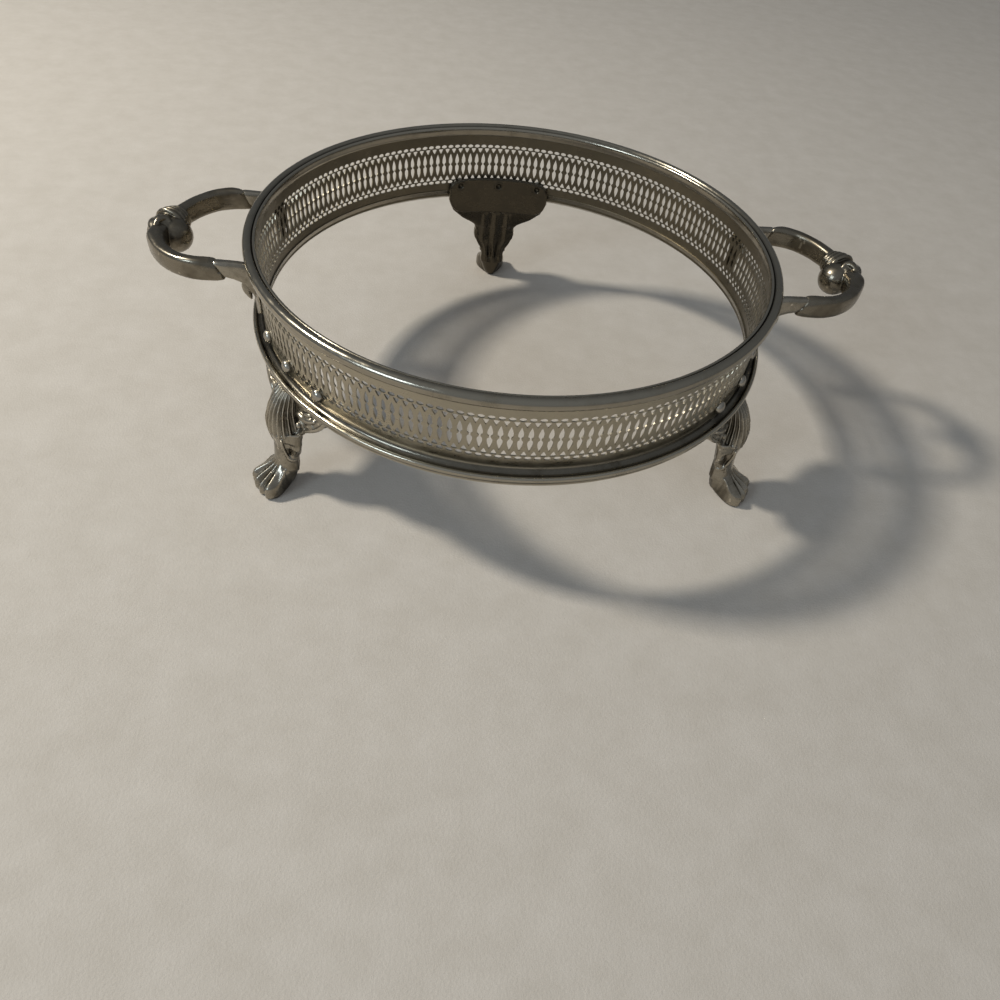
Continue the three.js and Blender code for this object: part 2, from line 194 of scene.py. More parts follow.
def bump(tree, shader, height, strength, depth):
    """Unevenness of a surface, up to a depth in metres."""
    made = node(tree, "ShaderNodeBump")
    made.inputs["Strength"].default_value = strength
    made.inputs["Distance"].default_value = depth
    tree.links.new(height, made.inputs["Height"])
    tree.links.new(made.outputs["Normal"], shader.inputs["Normal"])


# Silver plate. The marks on it go from broad clouds of tarnish to specks

CLOUD_SCALE = 95
SCRATCH_SCALE = 260
WEAR_SCALE = 420
SPECK_SCALE = 900
SCRATCH_STRETCH = (1.0, 1.0, 7.0)
WEAR_STRENGTH = 0.25
WEAR_DEPTH = 0.00012
# Convex edges are lightened: partly wear, partly a painted highlight.
WORN_AND_HIGHLIT_GAIN = 1.7
WORN_AND_HIGHLIT_LIMIT = 0.8
DULLING = 0.16


def facing_axis(tree):
    """1 on faces that look towards the ring's axis."""
    geometry = node(tree, "ShaderNodeNewGeometry")
    out = node(tree, "ShaderNodeVectorMath", operation="SUBTRACT")
    tree.links.new(geometry.outputs["Position"], out.inputs[0])
    out.inputs[1].default_value = (RING_X, RING_Y, 0)
    level = node(tree, "ShaderNodeVectorMath", operation="MULTIPLY")
    tree.links.new(out.outputs["Vector"], level.inputs[0])
    level.inputs[1].default_value = (1, 1, 0)
    facing = node(tree, "ShaderNodeVectorMath", operation="DOT_PRODUCT")
    tree.links.new(level.outputs["Vector"], facing.inputs[0])
    tree.links.new(geometry.outputs["Normal"], facing.inputs[1])
    # the product is in metres, about -0.1 on the band where it looks straight at the axis
    return ramp(tree, facing.outputs["Value"], -0.02, -0.06)


def silver(name, clean, tarnish, painted_shade_colour, amount, roughness, crevice, inside=None):
    """Silver plate: tarnished in clouds, worn and given a painted highlight on its edges, painted shade in
    its crevices.

    amount is the share that is tarnished, roughness the least and the most, and crevice how far in metres the
    painted shade reaches out of a corner. inside is the share of the tarnish colour that faces looking at the
    ring's axis are given.
    """
    material = bpy.data.materials.new(name)
    material.use_nodes = True
    tree = material.node_tree
    shader = tree.nodes["Principled BSDF"]
    coords = node(tree, "ShaderNodeTexCoord").outputs["Object"]
    shader.inputs["Metallic"].default_value = 1.0

    clouds = ramp(tree, noise(tree, coords, CLOUD_SCALE, 5, 0.62), 0.62 - amount * 0.35, 0.8 - amount * 0.25)
    specks = ramp(tree, noise(tree, coords, SPECK_SCALE, 3, 0.7), 0.6, 0.75, 0.0, 0.55)
    stain = math_node(tree, "ADD", clouds, math_node(tree, "MULTIPLY", specks, amount))

    # Painted shade: occlusion darkens the colour to near black in the crevices and corners it finds.
    shade = node(tree, "ShaderNodeAmbientOcclusion", samples=8, only_local=False)
    shade.inputs["Distance"].default_value = crevice
    painted_crevice_shade = ramp(tree, shade.outputs["AO"], 0.92, 0.5)

    toned = blend(tree, stain, clean, tarnish)
    # Lighter convex edges and crests: partly wear, partly a painted highlight.
    worn_and_highlit = ramp(tree, node(tree, "ShaderNodeNewGeometry").outputs["Pointiness"], 0.515, 0.56)
    worn_and_highlit_colour = tuple(min(part * WORN_AND_HIGHLIT_GAIN, WORN_AND_HIGHLIT_LIMIT) for part in clean)
    colour = blend(tree, worn_and_highlit, blend(tree, painted_crevice_shade, toned, painted_shade_colour), worn_and_highlit_colour)
    if inside is not None:
        # Faces that look at the ring's axis are given a darker colour.
        colour = blend(tree, facing_axis(tree), colour, tuple(inside * part for part in tarnish))
    tree.links.new(colour, shader.inputs["Base Color"])

    scratches = noise(tree, coords, SCRATCH_SCALE, 3, 0.55, SCRATCH_STRETCH)
    gloss = ramp(tree, scratches, 0.3, 0.7, *roughness)
    marks = math_node(tree, "MAXIMUM", stain, painted_crevice_shade)
    dull = math_node(tree, "ADD", gloss, math_node(tree, "MULTIPLY", marks, DULLING))
    tree.links.new(dull, shader.inputs["Roughness"])

    bump(tree, shader, noise(tree, coords, WEAR_SCALE, 4, 0.6), WEAR_STRENGTH, WEAR_DEPTH)
    return material


# The third colour of each material is the painted shade in its crevices.
BAND_SILVER = silver("band_silver", clean=(0.25, 0.226, 0.178), tarnish=(0.17, 0.148, 0.108),
                     painted_shade_colour=(0.018, 0.014, 0.009), amount=0.5, roughness=(0.24, 0.38), crevice=0.0009,
                     inside=0.85)
RIM_SILVER = silver("rim_silver", clean=(0.3, 0.275, 0.225), tarnish=(0.19, 0.168, 0.13),
                    painted_shade_colour=(0.01, 0.008, 0.005), amount=0.35, roughness=(0.13, 0.22), crevice=0.0045)
CAST_SILVER = silver("cast_silver", clean=(0.36, 0.33, 0.275), tarnish=(0.17, 0.147, 0.11),
                     painted_shade_colour=(0.012, 0.01, 0.007), amount=0.5, roughness=(0.2, 0.3), crevice=0.0012, inside=0.5)
HANDLE_SILVER = silver("handle_silver", clean=(0.23, 0.205, 0.163), tarnish=(0.14, 0.12, 0.09),
                       painted_shade_colour=(0.012, 0.01, 0.007), amount=0.45, roughness=(0.2, 0.32), crevice=0.0018)
RIVET_SILVER = silver("rivet_silver", clean=(0.38, 0.355, 0.31), tarnish=(0.25, 0.225, 0.18),
                      painted_shade_colour=(0.03, 0.026, 0.02), amount=0.35, roughness=(0.18, 0.28), crevice=0.0015)


# Meshes. A shape is a pair: its points and its faces

def place(points, turn, mirror):
    """Points in millimetres round the ring's axis, mirrored and turned, as metres in the frame."""
    c, s = math.cos(turn), math.sin(turn)
    return [(RING_X + (mirror * x * c - y * s) * MM, RING_Y + (mirror * x * s + y * c) * MM, z * MM)
            for x, y, z in points]


def finish_piece(name, shape, stands_for, material, sharp=180, turn=0.0, mirror=1, fuse=None):
    """Makes a piece of a shape and lets it stand for a CAD node.

    Edges are sharp from an angle of sharp degrees. fuse is the grain in millimetres of a shape whose parts
    overlap and are made one skin.
    """
    points, faces = shape
    mesh = bpy.data.meshes.new(name)
    mesh.from_pydata(place(points, turn, mirror), [], faces)
    bm = bmesh.new()
    bm.from_mesh(mesh)
    bmesh.ops.remove_doubles(bm, verts=bm.verts, dist=1e-7)
    bmesh.ops.recalc_face_normals(bm, faces=bm.faces)
    bm.to_mesh(mesh)
    bm.free()
    piece = bpy.data.objects.new(name, mesh)
    bpy.context.collection.objects.link(piece)
    if fuse:
        fuse_parts(piece, fuse)
    for face in piece.data.polygons:
        face.use_smooth = True
    piece.data.set_sharp_from_angle(angle=math.radians(sharp))
    piece.data.materials.append(material)
    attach(piece, "root")
    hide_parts(stands_for)


def fuse_parts(piece, grain):
    """Makes overlapping parts one skin and softens its steps."""
    remesh = piece.modifiers.new("fuse", "REMESH")
    remesh.mode = "VOXEL"
    remesh.voxel_size = grain * MM
    relax = piece.modifiers.new("relax", "SMOOTH")
    relax.factor = 0.5
    relax.iterations = 2
    shown = piece.evaluated_get(bpy.context.evaluated_depsgraph_get())
    mesh = bpy.data.meshes.new_from_object(shown)
    piece.modifiers.clear()
    piece.data = mesh


def join(shapes):
    """One shape out of several."""
    points, faces = [], []
    for more_points, more_faces in shapes:
        start = len(points)
        faces += [tuple(i + start for i in face) for face in more_faces]
        points += list(more_points)
    return points, faces


def skin(rings, closed_ends=True):
    """Quads between rings of points that have as many points each."""
    count = len(rings[0])
    points = [tuple(p) for ring in rings for p in ring]
    faces = []
    for i in range(len(rings) - 1):
        for j in range(count):
            a, b = i * count + j, i * count + (j + 1) % count
            faces.append((a, b, b + count, a + count))
    if closed_ends:
        faces.append(tuple(reversed(range(count))))
        faces.append(tuple(range(len(points) - count, len(points))))
    return points, faces


def lathe(profile):
    """Closed profile of (radius, z) points turned round the ring's axis."""
    rings = []
    for i in range(RING_STEPS):
        a = 2 * math.pi * i / RING_STEPS
        rings.append([(r * math.cos(a), r * math.sin(a), z) for r, z in profile])
    rings.append(rings[0])
    return skin(rings, closed_ends=False)


def ball(centre, radii, rows, columns):
    """Ball, or an egg where its radii differ."""
    rings = []
    for i in range(rows + 1):
        p = math.pi * i / rows
        rings.append([(centre[0] + radii[0] * math.sin(p) * math.cos(2 * math.pi * j / columns),
                       centre[1] + radii[1] * math.sin(p) * math.sin(2 * math.pi * j / columns),
                       centre[2] - radii[2] * math.cos(p)) for j in range(columns)])
    return skin(rings, closed_ends=False)


def heading(line, i):
    """Direction of a line at one of its points."""
    return (line[min(i + 1, len(line) - 1)] - line[max(i - 1, 0)]).normalized()


def tube(line, radius_at, sides=12, flat=1.0, up=UP):
    """Round or flattened rod with closed ends. radius_at gives its radius at a share of the line."""
    rings = []
    for i, point in enumerate(line):
        ahead = heading(line, i)
        side = ahead.cross(up)
        side = side.normalized() if side.length > 1e-6 else Vector((1, 0, 0))
        lift = side.cross(ahead).normalized()
        radius = radius_at(i / (len(line) - 1))
        rings.append([point + (side * math.cos(a) + lift * math.sin(a) * flat) * radius
                      for a in (2 * math.pi * k / sides for k in range(sides))])
    return skin(rings)


# Pierced band

# One cell of the pattern has half of a slot and of two eyes at each side, and two triangles in its middle.
# Drops are measured down from the rim's plane
PITCH = CELL * (BAND_TOP_RADIUS + BAND_LOW_RADIUS) / 2
EYE_HALF = (1.36, 0.86)
EYE_DROPS = (8.7, 26.7)
EYE_STEPS = 6
TRIANGLE_DROPS = (10.9, 24.5)
TRIANGLE_HALF = (1.16, 1.2)
SLOT_DROPS = (12.1, 17.5, 17.9, 23.4)
SLOT_HALF = 0.98
WAIST_HALF = 0.3
LEAF_STEPS = 8
LEAF_CUT = 1.32
BAND_IN_RIM = 2.4
BAND_IN_FOOT_RIM = 2.6


def band_radius(z):
    """Radius of the band's outside."""
    share = (z - RING_BOTTOM) / (RIM_TOP - RING_BOTTOM)
    return BAND_LOW_RADIUS + (BAND_TOP_RADIUS - BAND_LOW_RADIUS) * share


def half_eye(drop):
    """Right half of an eye, from its lower point to its upper."""
    z = RIM_PLANE - drop
    points = []
    for k in range(EYE_STEPS + 1):
        a = -math.pi / 2 + math.pi * k / EYE_STEPS
        width = EYE_HALF[0] * math.cos(a) ** 1.1 if 0 < k < EYE_STEPS else 0.0
        points.append((width, z + EYE_HALF[1] * math.sin(a)))
    return points


def leaf_width(from_tip):
    """Half the width of a leaf of a slot at a share of its length, which the waist cuts short."""
    if from_tip == 0:
        return 0.0
    if from_tip == 1:
        return WAIST_HALF
    return SLOT_HALF * math.sin(math.pi * (from_tip / LEAF_CUT) ** 1.1) ** 0.9


def half_leaf(tip, waist):
    """Right half of one leaf of a slot, from its lower end to its upper."""
    low, high = RIM_PLANE - max(tip, waist), RIM_PLANE - min(tip, waist)
    points = []
    for k in range(LEAF_STEPS + 1):
        share = k / LEAF_STEPS
        width = leaf_width(share if tip > waist else 1 - share)
        points.append((width, low + (high - low) * share))
    return points


def triangle(drop, point_down):
    """Triangle with rounded corners in the middle of the cell."""
    z = RIM_PLANE - drop
    sign = -1 if point_down else 1
    shape = [(0, 1.0), (0.24, 0.72), (0.62, 0.05), (0.98, -0.62), (0.9, -0.9), (0.45, -1.0),
             (-0.45, -1.0), (-0.9, -0.9), (-0.98, -0.62), (-0.62, 0.05), (-0.24, 0.72)]
    return [(PITCH / 2 + x * TRIANGLE_HALF[0], z + sign * y * TRIANGLE_HALF[1]) for x, y in shape]


def within(point, loop):
    """Whether a point lies inside a loop of points."""
    inside = False
    for (xa, za), (xb, zb) in zip(loop, loop[1:] + loop[:1]):
        if (za > point.y) != (zb > point.y) and point.x < (xb - xa) * (point.y - za) / (zb - za) + xa:
            inside = not inside
    return inside


def on_seam(first, second):
    """Whether an edge lies where one cell meets the next, and so needs no wall."""
    return any(abs(first.x - seam) < 1e-4 and abs(second.x - seam) < 1e-4 for seam in (0.0, PITCH))


def band_cell():
    """Flat cell of the band: its points, its triangles, and the edges that need a wall."""
    top, low = RIM_TOP - BAND_IN_RIM, RING_BOTTOM + BAND_IN_FOOT_RIM
    edge = half_eye(EYE_DROPS[1])
    edge += half_leaf(SLOT_DROPS[3], SLOT_DROPS[2])
    edge += half_leaf(SLOT_DROPS[0], SLOT_DROPS[1])
    edge += half_eye(EYE_DROPS[0])
    left = [(0.0, low)] + edge + [(0.0, top)]
    right = [(PITCH - x, z) for x, z in reversed(left)]
    outline = left + right
    holes = [triangle(TRIANGLE_DROPS[0], True), triangle(TRIANGLE_DROPS[1], False)]
    points, edges = [], []
    for loop in [outline] + holes:
        start = len(points)
        points += [Vector(p) for p in loop]
        edges += [(start + i, start + (i + 1) % len(loop)) for i in range(len(loop))]
    flat, _, triangles, *_ = delaunay_2d_cdt(points, edges, [], 0, 1e-6)
    kept = []
    for face in triangles:
        middle = sum((flat[i] for i in face), Vector((0.0, 0.0))) / len(face)
        if within(middle, outline) and not any(within(middle, hole) for hole in holes):
            kept.append(tuple(face))
    sides = dict.fromkeys((a, b) for face in kept for a, b in zip(face, face[1:] + face[:1]))
    walls = [(a, b) for a, b in sides if (b, a) not in sides and not on_seam(flat[a], flat[b])]
    return flat, kept, walls


def gallery_band():
    """The cell bent round the ring, once for each repeat, with an outside, an inside and cut edges."""
    flat, kept, walls = band_cell()
    count = len(flat)
    points, faces = [], []
    for i in range(REPEATS):
        base = len(points)
        for depth in (0.0, BAND_THICKNESS):
            for p in flat:
                a = i * CELL + p.x / PITCH * CELL
                r = band_radius(p.y) - depth
                points.append((r * math.cos(a), r * math.sin(a), p.y))
        for face in kept:
            faces.append(tuple(base + k for k in face))
            faces.append(tuple(base + count + k for k in reversed(face)))
        for a, b in walls:
            faces.append((base + b, base + a, base + a + count, base + b + count))
    finish_piece("pierced_band", (points, faces), "gallery_band", BAND_SILVER, sharp=30)


# Rims. A profile's points are measured in from the rim's outer edge and up from its lower edge

RIM_HEIGHT = 5
RIM_PROFILE = [(3.4, 0.1), (2.4, 0), (1.4, 0.2), (0.6, 0.8), (0.15, 1.6), (0, 2.5), (0.1, 3.3), (0.45, 4.05),
               (1.05, 4.65), (1.7, 4.93), (2.25, RIM_HEIGHT), (2.8, 4.85), (3.25, 4.5), (3.55, 4.0),
               (3.7, 3.75), (3.85, 3.95), (4.25, 4.2), (4.7, 4.15), (5.05, 3.85), (5.25, 3.3), (5.3, 2.4),
               (5.2, 1.5), (5.05, 0.6), (4.7, 0.1)]
FOOT_RIM_OUTER = 110.9
FOOT_RIM_HEIGHT = 5.6
FOOT_RIM_PROFILE = [(6.0, 5.4), (5.8, 3.9), (4.9, 2.4), (3.5, 1.1), (2.3, 0.2), (1.8, 0), (1.3, 0.15),
                    (1.1, 0.7), (1.15, 1.3), (1.4, 1.7), (1.1, 1.95), (0.5, 2.25), (0.1, 2.8), (0, 3.4),
                    (0.15, 4.0), (0.6, 4.4), (1.2, 4.45), (1.65, 4.1), (1.9, 3.6), (2.4, 3.35), (3.2, 3.5),
                    (4.0, 4.0), (4.5, 4.7), (4.75, FOOT_RIM_HEIGHT)]


def top_rim():
    """Rounded moulding with a step inside it, for the dish's flange."""
    low = RIM_TOP - RIM_HEIGHT
    profile = [(RIM_OUTER - inward, low + up) for inward, up in RIM_PROFILE]
    finish_piece("rim_moulding", lathe(profile), "top_rim", RIM_SILVER, sharp=50)


def bottom_rim():
    """Flared moulding with a bead, a cove above it and a hollow underside."""
    profile = [(FOOT_RIM_OUTER - inward, RING_BOTTOM + up) for inward, up in FOOT_RIM_PROFILE]
    upper = RING_BOTTOM + FOOT_RIM_HEIGHT
    wall = band_radius(upper)
    profile += [(wall, upper), (wall - 1.1, upper)]
    finish_piece("foot_moulding", lathe(profile), "bottom_rim", RIM_SILVER, sharp=50)


# Feet, drawn with x outwards, y along the ring and z up

# Lengths by height: the radius of the leg's front and of its back, half its width and the shell's, and the
# radius of the sunk fields beside the shell and of the wings' edges
LEG_OUT = [(9, 117.4), (11, 117.8), (14, 117.1), (18, 116.5), (22, 116.3), (26, 116.8), (28, 117.3),
           (30, 117.7), (33, 117.7), (36, 117.2), (40, 116.1), (43, 114.6), (46, 112.6), (48.6, 110.0)]
LEG_IN = [(9, 108.9), (18, 108.9), (24, 108.6), (28, 107.9), (31, 107.0), (34, 106.0), (38, 104.9),
          (41, 104.1), (43.2, 103.7), (43.5, 103.1), (48.6, 102.9)]
LEG_HALF = [(9, 6.0), (10.8, 6.3), (14, 6.1), (17.5, 6.6), (20, 7.7), (22, 9.2), (24, 10.4), (26.5, 10.9),
            (29, 10.8), (31, 10.5), (33, 11.0), (34.5, 12.2), (36, 14.4), (37.5, 17.0), (39, 19.2),
            (41, 21.4), (43.7, 24.4), (46.7, 25.8), (48.6, 26.4)]
SHELL_HALF = [(19, 9.0), (22, 10.2), (25, 10.8), (28, 10.7), (31, 10.3), (33, 9.3), (37, 7.8), (42, 6.7),
              (48.6, 6.2)]
FIELD = [(19, 109.6), (26, 109.4), (33, 109.2), (40, 108.9), (48.6, 107.4)]
EDGE = [(19, 109.2), (30, 108.6), (34, 106.8), (38, 105.6), (44, 104.4), (48.6, 104.0)]
LEG_LOW = LEG_OUT[0][0]
LEG_HIGH = LEG_OUT[-1][0]
LEG_ROWS = 160
SHELL_COLUMNS = 200
FIELD_COLUMNS = 30
BACK_COLUMNS = 70
RIBS = 11
RIB_DEPTH = 1.3
FIELD_EDGE = 1.1

# The shell's lip rises from its middle to its sides. Below it the ankle is narrow in front and has a hollow
# at each side, which is placed by an angle in radians
LIP_Z = 28.3
LIP_RISE = 4.2
SHIN_PINCH = 0.36
HOLLOW_DEPTH = 0.17
HOLLOW_AT = 1.13
HOLLOW_WIDTH = 0.24
FOLD_DEPTH = 0.75


def on_ring(side, radius, z):
    """Point at a distance along the ring and a radius from its axis."""
    return radius * math.cos(side / BAND_LOW_RADIUS), radius * math.sin(side / BAND_LOW_RADIUS), z


def front_columns():
    """Where each column of the leg's front lies: an angle on the shell, or a share of a field's width."""
    left = [("field", -1, 1 - k / FIELD_COLUMNS) for k in range(FIELD_COLUMNS)]
    shell = [("shell", 0, math.pi * (k / SHELL_COLUMNS - 0.5)) for k in range(SHELL_COLUMNS + 1)]
    right = [("field", 1, (k + 1) / FIELD_COLUMNS) for k in range(FIELD_COLUMNS)]
    return left + shell + right


def shell_front(z, half, out):
    """Fluted shell between two sunk fields, as (side, radius) points; its ribs lie evenly along the curve."""
    shell = min(table(SHELL_HALF, z), half - 0.1)
    crown = out + 0.2
    field = min(table(FIELD, z), out - 0.5)
    rim = min(table(EDGE, z), field)
    depth = RIB_DEPTH * (0.6 + 0.4 * smooth(LEG_HIGH, 38, z))
    plain = []
    for kind, hand, where in front_columns():
        if kind == "shell":
            side = shell * math.copysign(abs(math.sin(where)) ** 0.85, where)
            plain.append((side, field + (crown - field) * math.cos(where) ** 0.85))
        else:
            fall = smooth(1 - FIELD_EDGE / max(half - shell, FIELD_EDGE), 1.0, where) ** 2
            plain.append((hand * (shell + (half - shell) * where), field - (field - rim) * fall))
    lengths = [0.0]
    for (ya, ra), (yb, rb) in zip(plain, plain[1:]):
        lengths.append(lengths[-1] + math.hypot(yb - ya, rb - ra))
    first, last = FIELD_COLUMNS, FIELD_COLUMNS + SHELL_COLUMNS
    span = lengths[last] - lengths[first]
    points = []
    for i, (y, r) in enumerate(plain):
        if first < i < last:
            share = (lengths[i] - lengths[first]) / span * 2 - 1
            groove = depth * (0.5 - 0.5 * math.cos(math.pi * RIBS * share)) ** 0.6
            (ya, ra), (yb, rb) = plain[i - 1], plain[i + 1]
            step = math.hypot(yb - ya, rb - ra)
            y, r = y + groove * (rb - ra) / step, r - groove * (yb - ya) / step
        points.append((y, r))
    return points


def ankle(z, angle, half, middle, out):
    """(side, radius) of the plain ankle at an angle from its front."""
    pinch = 1 - SHIN_PINCH * smooth(17, 22, z) * math.cos(angle)
    beside = math.exp(-((abs(angle) - HOLLOW_AT) / HOLLOW_WIDTH) ** 2)
    hollow = smooth(17.5, 19.5, z) * (1 - smooth(26.2, 28.0, z)) * beside
    dent = 1 - HOLLOW_DEPTH * hollow
    return half * pinch * dent * math.sin(angle), middle + (out - middle) * dent * math.cos(angle)


def leg_front(z, half, inside, out):
    """(side, radius) points of the leg's front: the plain ankle below the shell's lip, the knee above it."""
    middle = inside + (out - inside) * 0.4
    knee = shell_front(z, half, out)
    points = []
    for j, (knee_side, knee_radius) in enumerate(knee):
        side, radius = ankle(z, math.pi * (j / (len(knee) - 1) - 0.5), half, middle, out)
        lip = LIP_Z + LIP_RISE * min(abs(knee_side) / table(SHELL_HALF, z), 1.0) ** 2
        above = smooth(lip - 0.3, lip + 0.3, z)
        points.append((side + (knee_side - side) * above, radius + (knee_radius - radius) * above))
    return points


def leg_back(z, half, inside, edge):
    """(side, radius) points of the leg's hollow back, with the folds that run down it."""
    points = []
    for j in range(1, BACK_COLUMNS):
        side = half * math.cos(math.pi * j / BACK_COLUMNS)
        hollow = math.sin(math.pi * j / BACK_COLUMNS) ** 0.5
        share = side / min(half, 10.0)
        folds = FOLD_DEPTH * math.cos(9.5 * share + 0.5) * smooth(5, 14, z) * (1 - smooth(41, 43.2, z))
        folds *= 1 - smooth(0.65, 0.95, abs(share))
        points.append((side, edge + (inside - edge) * hollow - folds))
    return points


def leg():
    """Ankle, fluted shell knee and wings as one casting."""
    rings = []
    for i in range(LEG_ROWS + 1):
        z = LEG_LOW + (LEG_HIGH - LEG_LOW) * i / LEG_ROWS
        out, inside, half = table(LEG_OUT, z), table(LEG_IN, z), table(LEG_HALF, z)
        points = leg_front(z, half, inside, out)
        points += leg_back(z, half, inside, points[-1][1])
        rings.append([on_ring(side, radius, z) for side, radius in points])
    return skin(rings)


# Riveting plate, as half its width by height, and the dimple that hammering left round each rivet's tail

PLATE_HALF = [(42.9, 18), (43.5, 21), (44.6, 23.2), (46.4, 25), (50, 26.4), (56, 26.2), (58.2, 25.2),
              (59.6, 23.4), (60.4, 21), (61, 15), (61.3, 7), (61.4, 2)]
PLATE_LOW = PLATE_HALF[0][0]
PLATE_HIGH = PLATE_HALF[-1][0]
PLATE_ROWS = 62
PLATE_COLUMNS = 130
PLATE_ROUNDING = 0.5
DIMPLE_DEPTH = 1.1
DIMPLE_RIM = 0.25


def plate():
    """The riveting plate against the inside of the band, dimpled where the rivets are hammered."""
    rings = []
    for i in range(PLATE_ROWS + 1):
        z = PLATE_LOW + (PLATE_HIGH - PLATE_LOW) * i / PLATE_ROWS
        half = table(PLATE_HALF, z)
        lower_end = smooth(PLATE_LOW, PLATE_LOW + PLATE_ROUNDING, z)
        upper_end = 1 - smooth(PLATE_HIGH - PLATE_ROUNDING, PLATE_HIGH, z)
        ends = 0.35 * (1 - lower_end * upper_end)
        ring = []
        for j in range(PLATE_COLUMNS + 1):
            y = half * (1 - 2 * j / PLATE_COLUMNS)
            radius = PLATE_INNER + ends + 0.4 * smooth(half - 0.9, half, abs(y))
            turn = y / radius
            for k in (-1, 0, 1):
                away = math.hypot((turn - math.radians(RIVET_STEP * k)) * radius, z - RIVET_Z)
                dimple = DIMPLE_DEPTH * (1 - smooth(0.8, 1.5, away))
                radius += dimple - DIMPLE_RIM * math.exp(-((away - 1.9) / 0.5) ** 2)
            ring.append((radius * math.cos(turn), radius * math.sin(turn), z))
        for j in range(PLATE_COLUMNS + 1):
            turn = half * (2 * j / PLATE_COLUMNS - 1) / PLATE_INNER
            ring.append((PLATE_OUTER * math.cos(turn), PLATE_OUTER * math.sin(turn), z))
        rings.append(ring)
    return skin(rings)


# Paw: four straight toes that fan out from the ankle, each with a sharp crest

# The edges are its reach at the floor and round the upper heel, by degrees from the front. Instep and groove
# are given by the radius
PAW_CENTRE = 111.6
TOE_STEP = 16.0
OUTER_CREST = TOE_STEP * 1.5
PAW_EDGE = [(0, 15.8), (8, 15.95), (16, 16.0), (24, 16.2), (28, 15.9), (33, 14.8), (37, 13.5), (41.4, 11.2),
            (46, 7.9), (54, 4.6), (65, 2.8), (107, 1.4), (180, 1.1)]
HEEL_EDGE = [(37, 13.5), (41.4, 11.5), (46, 9.5), (54, 7.7), (65, 6.9), (90, 6.1), (107, 5.2), (140, 3.5),
             (180, 2.8)]
HEEL_FROM = HEEL_EDGE[0][0]
HEEL_HEIGHT = 11.5
FLANK_HEIGHT = 2.2
NOTCH_DEPTH = 1.1
INSTEP = [(108, 14.6), (115, 14.4), (117, 13.0), (118.4, 11.3), (120, 9.9), (124, 7.4), (126, 6.0),
          (127.4, 4.8)]
GROOVE = [(114, 0.0), (117, 1.9), (120, 2.9), (127, 3.5)]
TOE_COLUMNS = 24
HEEL_COLUMNS = 40
TOP_ROWS = 34
WALL_ROWS = 14


def off_crest(degrees):
    """0 on a toe's crest, 1 in the groove between two."""
    return abs((degrees / TOE_STEP) % 1 - 0.5) * 2


def paw_edge(degrees):
    """Reach of the paw at the floor, notched between the toes."""
    notch = NOTCH_DEPTH * off_crest(degrees) ** 1.5 if degrees < OUTER_CREST else 0.0
    return table(PAW_EDGE, degrees) - notch


def paw_top_edge(degrees):
    """Reach of the paw's upper edge, which stands out over the floor only round the heel."""
    return max(paw_edge(degrees), table(HEEL_EDGE, degrees) if degrees > HEEL_FROM else 0.0)


def paw_height(degrees, reach):
    """Height of the paw's top: crests and grooves on the toes, a flank beside them, and a level heel."""
    x = PAW_CENTRE + reach * math.cos(math.radians(degrees))
    top = table(INSTEP, x)
    if degrees <= OUTER_CREST:
        flank = off_crest(degrees)
        return top - table(GROOVE, x) * (0.5 * flank + 0.5 * flank ** 2)
    away = math.radians(degrees - OUTER_CREST) * reach
    flank = max(top - 0.4 * away - 0.13 * away ** 2, FLANK_HEIGHT)
    return flank + (HEEL_HEIGHT - flank) * smooth(36, 56, degrees)


def paw_wall(degrees, low):
    """Reach and height on the paw's side, from its upper edge at low 0 to the floor at low 1."""
    high, floor = paw_top_edge(degrees), paw_edge(degrees)
    z = paw_height(degrees, high) * (1 - low)
    rounding = 0.5 * (1 - smooth(0.0, 0.25, low)) + 0.8 * smooth(0.85, 1.0, low) ** 2
    reach = high + (floor - high) * low ** 1.6
    return max(reach - rounding, 0.3), z


def paw_point(degrees, hand, reach, z):
    """Point round the paw's centre, on one side of it or the other."""
    a = math.radians(degrees)
    return PAW_CENTRE + reach * math.cos(a), hand * reach * math.sin(a), z


def paw():
    """Rings that widen over the top of the paw and then go down its side."""
    toes = [OUTER_CREST * k / TOE_COLUMNS for k in range(TOE_COLUMNS + 1)]
    heel = [OUTER_CREST + (180 - OUTER_CREST) * (k / HEEL_COLUMNS) ** 1.2 for k in range(1, HEEL_COLUMNS + 1)]
    degrees = toes + heel
    around = [(a, 1) for a in degrees] + [(a, -1) for a in reversed(degrees[1:-1])]
    rings = []
    for i in range(TOP_ROWS):
        share = 0.15 + 0.8 * i / TOP_ROWS
        ring = []
        for a, hand in around:
            reach = paw_top_edge(a) * share
            ring.append(paw_point(a, hand, reach, paw_height(a, reach)))
        rings.append(ring)
    for k in range(WALL_ROWS + 1):
        low = math.sin(math.pi / 2 * k / WALL_ROWS)
        rings.append([paw_point(a, hand, *paw_wall(a, low)) for a, hand in around])
    return skin(rings)


# Ornament of a foot. The lines on a wing are (side, z) points, those of a cuff are (x, y, z)

